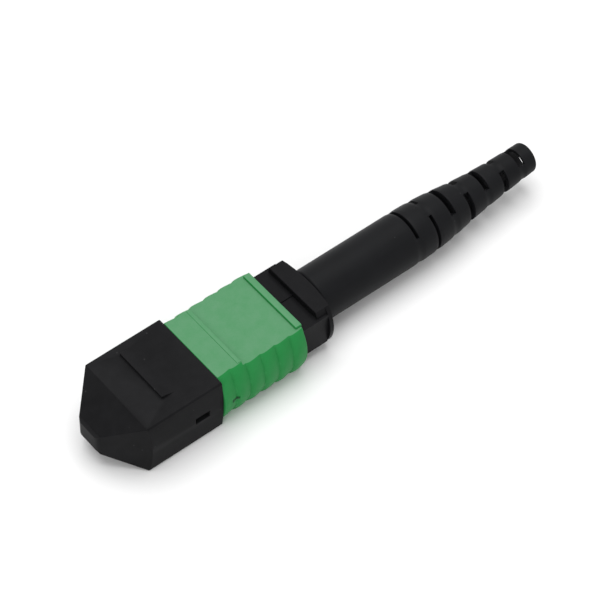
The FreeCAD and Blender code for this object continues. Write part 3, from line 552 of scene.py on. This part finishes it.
def boot_profile(recipe, x):
    """Radius of the boot: straight, bowing in, easing into the tail, and drawn in by its slots."""
    bow = recipe.math("MINIMUM", recipe.not_below(x - TAPER_START), BOW_LENGTH)
    ease = recipe.not_below(x - (TAPER_START + BOW_LENGTH))
    fall = (1.0 - recipe.math("EXPONENT", ease * (-1.0 / EASE_LENGTH))) * EASE_DEPTH
    radius = recipe.given("Radius") - bow * bow * BOW_RATE - fall

    rows = (x - recipe.given("First_slot")) / recipe.given("Pitch") + 0.5
    from_slot = (rows - recipe.math("FLOOR", rows) - 0.5) * recipe.given("Pitch")
    beside = from_slot / recipe.given("Dip_half_width")
    inside = recipe.not_below(1.0 - beside * beside)
    in_row = recipe.above(rows, 0.0) * recipe.math("LESS_THAN", rows, SLOT_ROWS)
    radius = radius - inside * inside * in_row * recipe.given("Dip")

    edge = recipe.given("Edge")
    for gap in (x - recipe.given("Front"), recipe.given("Front") + recipe.given("Length") - x):
        short = recipe.not_below(edge - gap)
        arc = recipe.math("SQRT", recipe.not_below(edge * edge - short * short))
        radius = radius - (edge - arc)
    return radius


def boot_skin(recipe):
    """The boot's outside, with its points closer together at the rounded ends."""
    line, share = recipe.points_along(BOOT_POINTS)
    place = recipe.gathered(share, 0.9) * recipe.given("Length") + recipe.given("Front")
    line = recipe.moved(line, recipe.vector(place, 0.0, 0.0))
    return recipe.swept(line, BOOT_SIDES, 1.0, boot_profile(recipe, recipe.spot()[0]))


def boot_void(recipe):
    """The socket and the bore behind it, as one stepped skin of four rings."""
    line, share = recipe.points_along(4)
    past_front, in_bore, at_back = (recipe.above(share, limit) for limit in (0.1, 0.5, 0.9))
    front = recipe.given("Front") - VOID_MARGIN
    at_step = past_front * (1.0 - at_back)
    place = (front + (recipe.given("Socket_end") - front) * at_step
             + (BOOT_END + VOID_MARGIN - front) * at_back + in_bore * STEP_GAP)
    line = recipe.moved(line, recipe.vector(place, 0.0, 0.0))
    socket = recipe.given("Socket")
    radius = socket - in_bore * (socket - recipe.given("Bore"))
    return recipe.swept(line, BORE_SIDES, 1.0, radius)


def slot_wedge():
    """A wedge one wide that opens upwards at 45 degrees to each side."""
    shape = bmesh.new()
    for x in (-0.5, 0.5):
        for reach in (0.8, 4.6):
            for side in (-1, 1):
                shape.verts.new((x, reach * side, reach))
    bmesh.ops.convex_hull(shape, input=shape.verts)
    return mesh_from("slot_cutter", shape)


def slot_cutters(recipe):
    """Two opposite wedges in each row, which turn by a quarter from row to row."""
    places = recipe.node("GeometryNodeMeshLine", None, {"Count": recipe.given("Slots")})
    index = recipe.node("GeometryNodeInputIndex")
    row = recipe.math("FLOOR", index * 0.5)
    opposite = index - row * 2.0
    sideways = row - recipe.math("FLOOR", row * 0.5) * 2.0
    station = recipe.given("First_slot") + recipe.given("Pitch") * row
    width = SLOT_WIDTH
    for past_row, extra in WIDER_FROM:
        width = recipe.above(row, past_row) * extra + width
    upright, level = (math.tan(math.radians(half)) for half in (UPRIGHT_SPREAD, SIDEWAYS_SPREAD))
    cutters = recipe.node("GeometryNodeInstanceOnPoints", None, {
        "Points": recipe.moved(places, recipe.vector(station, 0.0, 0.0)),
        "Instance": recipe.given("Geometry"),
        "Rotation": recipe.vector(sideways * (math.pi / 2) + opposite * math.pi, 0.0, 0.0),
        "Scale": recipe.vector(width, upright + sideways * (level - upright), 1.0)})
    return recipe.node("GeometryNodeRealizeInstances", None, {"Geometry": cutters})


def boot():
    """Boot: a lathed skin with its bore, socket and slots cut, and its tail bent."""
    r = Recipe("slotted_boot", Material=boot_rubber, Front=BOOT_FRONT, Length=BOOT_LENGTH,
               Radius=BOOT_RADIUS, Edge=0.32, Bore=1.6, Socket=2.6, Socket_end=33.45,
               First_slot=TAPER_START, Pitch=SLOT_PITCH, Slots=2 * SLOT_ROWS,
               Dip_half_width=0.65, Dip=0.08, Bend_start=38.0, Bend_side=0.23, Bend_lift=0.54)
    body = r.node("GeometryNodeMeshBoolean", {"operation": "DIFFERENCE", "solver": "EXACT"},
                  {"Mesh 1": boot_skin(r), "Mesh 2": [boot_void(r), slot_cutters(r)]})
    x, y, z = r.spot()
    start = r.given("Bend_start")
    along = r.not_below(x - start) / (BOOT_END - start)
    bend = along * along
    body = r.moved(body, r.vector(x, y + bend * r.given("Bend_side"),
                                  z + bend * r.given("Bend_lift")))
    piece = shade(r.run("boot_finished", body, slot_wedge()), 38.0)
    return place_piece(piece, "housing", ["strain_relief_boot"], boot_rubber)


# Grip sleeve


SHOULDER = 9.5
GRIP_END = 21.43
SIDE_CENTRE = 0.69          # the round sides are arcs about this distance from the middle
SIDE_RADIUS = 5.56
GRIP_HALF_HEIGHT = 3.82
PANEL_HALF_HEIGHT = 3.48
PANEL_START = 12.95
SHOULDER_EDGE = 0.1
END_EDGE = 0.22
CORNER = 0.1
SIDE_STEPS = 16
CORNER_STEPS = 4
FIRST_VALLEY = 11.25
RIB_PITCH = 2.03
RIB_RISE = 0.6
RIB_COUNT = 6
# Stations round each valley, closest together where the rib turns most
RIB_FLANKS = (-1.42, -1.2, -0.98, -0.76, -0.56, -0.38, -0.22, -0.09, 0.0, 0.05, 0.11, 0.19, 0.29,
              0.41, 0.52)
OPEN_END = 23.0             # past the rear end, where the channels run out


def grip_quarter(half_height, inset):
    """A quarter of the grip's outline, from the middle of a round side towards that of the top."""
    radius = SIDE_RADIUS - inset
    top = half_height - inset
    lift = math.asin((top - CORNER) / (radius - CORNER))
    corner_y = SIDE_CENTRE + (radius - CORNER) * math.cos(lift)
    points = []
    for i in range(SIDE_STEPS):
        turn = lift * i / SIDE_STEPS
        points.append((SIDE_CENTRE + radius * math.cos(turn), radius * math.sin(turn)))
    for i in range(CORNER_STEPS + 1):
        turn = lift + (math.pi / 2 - lift) * i / CORNER_STEPS
        points.append((corner_y + CORNER * math.cos(turn), top - CORNER + CORNER * math.sin(turn)))
    points += [(corner_y * share, top) for share in (0.8, 0.4)]
    return points


def grip_loop(x):
    """The whole outline at a station, drawn in at the grip's rounded ends."""
    inset = rounding(x - SHOULDER, SHOULDER_EDGE) + rounding(GRIP_END - x, END_EDGE)
    quarter = grip_quarter(GRIP_HALF_HEIGHT if x <= PANEL_START else PANEL_HALF_HEIGHT, inset)
    half = quarter + [(-y, z) for y, z in reversed(quarter)]
    return half + [(y, -z) for y, z in reversed(half[1:-1])]


def rounding(gap, radius):
    """How far a rounded end is drawn in at this distance from it."""
    short = max(radius - gap, 0.0)
    return radius - math.sqrt(radius * radius - short * short)


def grip_skin():
    """The grip before its ribs: rings of points along the plug, closed at both ends."""
    stations = {SHOULDER + gap for gap in (0.0, 0.02, 0.05, 0.1, 0.3)}
    stations |= {GRIP_END - gap for gap in (0.0, 0.02, 0.05, 0.1, 0.16, 0.22, 0.5)}
    stations |= {FIRST_VALLEY + RIB_PITCH * rib + flank
                 for rib in range(RIB_COUNT) for flank in RIB_FLANKS}
    stations |= {PANEL_START, PANEL_START + 0.015}
    shape = bmesh.new()
    rings = [[shape.verts.new((x, y, z)) for y, z in grip_loop(x)]
             for x in sorted(stations) if SHOULDER <= x <= GRIP_END]
    count = len(rings[0])
    for ring, following in zip(rings, rings[1:]):
        for i in range(count):
            j = (i + 1) % count
            shape.faces.new((ring[i], ring[j], following[j], following[i]))
    shape.faces.new(rings[0])
    shape.faces.new(rings[-1])
    bmesh.ops.recalc_face_normals(shape, faces=shape.faces)
    return mesh_from("grip_skin", shape)


def ribbed_grip():
    """Ribs: each valley falls gently from the crest ahead of it and climbs steeply to the next.

    They reach over the round sides only, and grow shallower towards the top and bottom."""
    r = Recipe("grip_ribs", Material=green_grip, First_valley=FIRST_VALLEY, Pitch=RIB_PITCH,
               Rise=RIB_RISE, Ribs=float(RIB_COUNT), Depth=0.28, Side_radius=SIDE_RADIUS,
               Fade_from=2.6, Fade_to=PANEL_HALF_HEIGHT, Faded=0.4, Gentle=1.8, Steep=2.2,
               Side_from=1.0, Side_to=4.0)
    x, y, z = r.spot()
    fall = r.given("Pitch") - r.given("Rise")
    steps = (x - r.given("First_valley") + fall) / r.given("Pitch")
    past_valley = (steps - r.math("FLOOR", steps)) * r.given("Pitch") - fall
    gentle = r.math("POWER", r.not_below(1.0 + past_valley / fall), r.given("Gentle"))
    steep = r.math("POWER", r.not_below(1.0 - past_valley / r.given("Rise")), r.given("Steep"))
    behind = r.above(past_valley, 0.0)
    in_row = r.above(steps, 0.0) * r.math("LESS_THAN", steps, r.given("Ribs"))
    kept = r.ramp(r.math("ABSOLUTE", z), r.given("Fade_from"), r.given("Fade_to"),
                  1.0, r.given("Faded"))
    depth = (gentle + behind * (steep - gentle)) * in_row * kept * r.given("Depth")

    def half_chord(radius):
        return r.math("SQRT", r.not_below(radius * radius - z * z, 0.01))

    full = r.given("Side_radius")
    inward = half_chord(full) - half_chord(full - depth)
    at_side = r.ramp(r.math("ABSOLUTE", y), r.given("Side_from"), r.given("Side_to"))
    place = r.vector(x, y - r.math("SIGN", y) * inward * at_side, z)
    return r.run("sleeve_finished", r.moved(r.given("Geometry"), place), grip_skin())


def sleeve():
    """Sleeve: ribbed grip with its strips and collar, hollowed for the plug, springs and stops."""
    piece = ribbed_grip()
    combined(piece, [across("rear_strip", 20.59, GRIP_END - 0.001, 4.7, GRIP_HALF_HEIGHT, 0.07),
                     across("fine_rib", 12.45, PANEL_START, 4.6, GRIP_HALF_HEIGHT + 0.06, 0.03),
                     across("collar", 4.5, SHOULDER + 1.0, 5.0, 3.04, 0.1)], "UNION")
    combined(piece, [across("tunnel", 3.0, OPEN_END, 4.45, 2.44),
                     across("rear_tunnel", 18.25, OPEN_END, 4.85, 2.43),
                     across("spring_channel", 11.38, OPEN_END, 5.35, 0.7),
                     across("stop_pocket", 16.5, 19.92, 1.9, 2.66),
                     across("side_slot", 10.55, 11.6, 8.0, 0.26)], "DIFFERENCE")
    shade(piece, 32.0)
    return place_piece(piece, "sleeve", ["sliding_sleeve"], green_grip)


# Springs and the other pieces


POINTS_PER_TURN = 36
WIRE_SIDES = 14


def spring(node, front, back, middle, width, height, wire, turns):
    """A coil spring with closed ends."""
    r = Recipe(f"{node}_coil", Material=wire_steel, Front=front + wire / 2, Back=back - wire / 2,
               Middle=middle, Across=(width - wire) / 2, High=(height - wire) / 2, Wire=wire / 2,
               Turns=float(turns))
    line, share = r.points_along(turns * POINTS_PER_TURN)
    along = r.gathered(share, 0.82)
    turn = share * r.given("Turns") * math.tau
    line = r.moved(line, r.vector(r.given("Front") + (r.given("Back") - r.given("Front")) * along,
                                  r.given("Middle") + r.math("COSINE", turn) * r.given("Across"),
                                  r.math("SINE", turn) * r.given("High")))
    coil = r.swept(line, WIRE_SIDES, r.given("Wire"))
    piece = shade(r.run(f"{node}_finished", coil), 50.0)
    place_piece(piece, "housing", [node], wire_steel)
    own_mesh(piece)
    return piece


def softened(node, body, material, width, angle=28.0):
    """A CAD node's own shape with its edges rounded by width."""
    piece = soften(cad_copy(node, f"{node}_finished"), width, angle)
    return place_piece(piece, body, [node], material)


def carried_over(node, material):
    """A CAD node that stays as it is, with this finish."""
    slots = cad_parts[node].data.materials
    slots.clear()
    slots.append(material)


camera()
studio()
floor()
sleeve()
boot()
spring("ferrule_spring", front=9.22, back=15.88, middle=0.0, width=6.2, height=2.9, wire=0.45,
       turns=7)
for node, side in (("coupling_spring_left", 1), ("coupling_spring_right", -1)):
    spring(node, front=11.42, back=17.48, middle=4.65 * side, width=1.2, height=1.2, wire=0.2,
           turns=10)
softened("dust_cap", "cap", black_cap, width=0.14)
softened("spring_push", "housing", black_body, width=0.12, angle=20.0)
softened("inner_housing", "housing", black_body, width=0.06)
softened("mt_ferrule", "ferrule", ferrule_plastic, width=0.03)
softened("pin_clamp", "ferrule", plate_steel, width=0.04)
softened("ferrule_boot", "ferrule", pale_rubber, width=0.08)
softened("crimp_sleeve", "housing", crimp_metal, width=0.04, angle=40.0)
carried_over("guide_pin_left", pin_steel)
carried_over("guide_pin_right", pin_steel)
